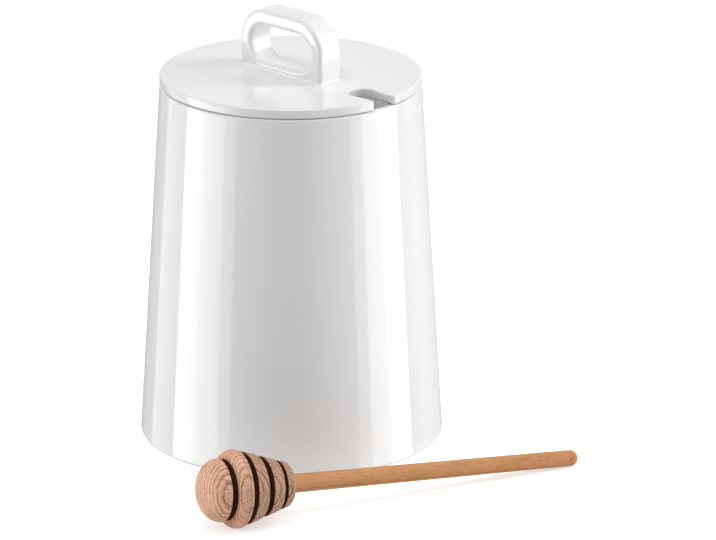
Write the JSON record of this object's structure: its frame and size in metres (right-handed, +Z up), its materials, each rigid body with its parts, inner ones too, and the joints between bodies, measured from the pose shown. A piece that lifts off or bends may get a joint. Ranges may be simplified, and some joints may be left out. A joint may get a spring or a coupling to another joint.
{
  "type": "honey pot",
  "caption": "Tapered round pot with a flush lift-off lid, a loop handle, a keyhole notch in the lid's edge and a turned wooden honey dipper.",
  "frame": {"origin": "middle of the pot's flat underside, on the table", "axes": "+Z up the pot's axis; +X from the pot's axis to the notch in the lid's edge, which is also the handle's long direction"},
  "size_m": [0.1682, 0.1639, 0.1669],
  "materials": {
    "white_plastic": "injection moulded, high gloss",
    "steel": "bare stainless screw",
    "beech_head": "turned beech, unfinished",
    "beech_stick": "planed beech dowel, unfinished"
  },
  "bodies": {
    "pot": {"pot_body": "white_plastic"},
    "lid": {"lid_plate": "white_plastic", "lid_plug": "white_plastic", "lid_handle": "white_plastic", "handle_screw_notch_side": "steel", "handle_screw_far_side": "steel"},
    "dipper": {"dipper_head": "beech_head", "dipper_stick": "beech_stick"}
  },
  "joints": [
    {"name": "lid_lift", "type": "slide", "parent": "pot", "child": "lid", "axis": [0, 0, 1], "range_m": [0, 0.15]},
    {"name": "dipper_lift", "type": "slide", "parent": "pot", "child": "dipper", "axis": [0, 0, 1], "range_m": [0, 0.17]}
  ]
}
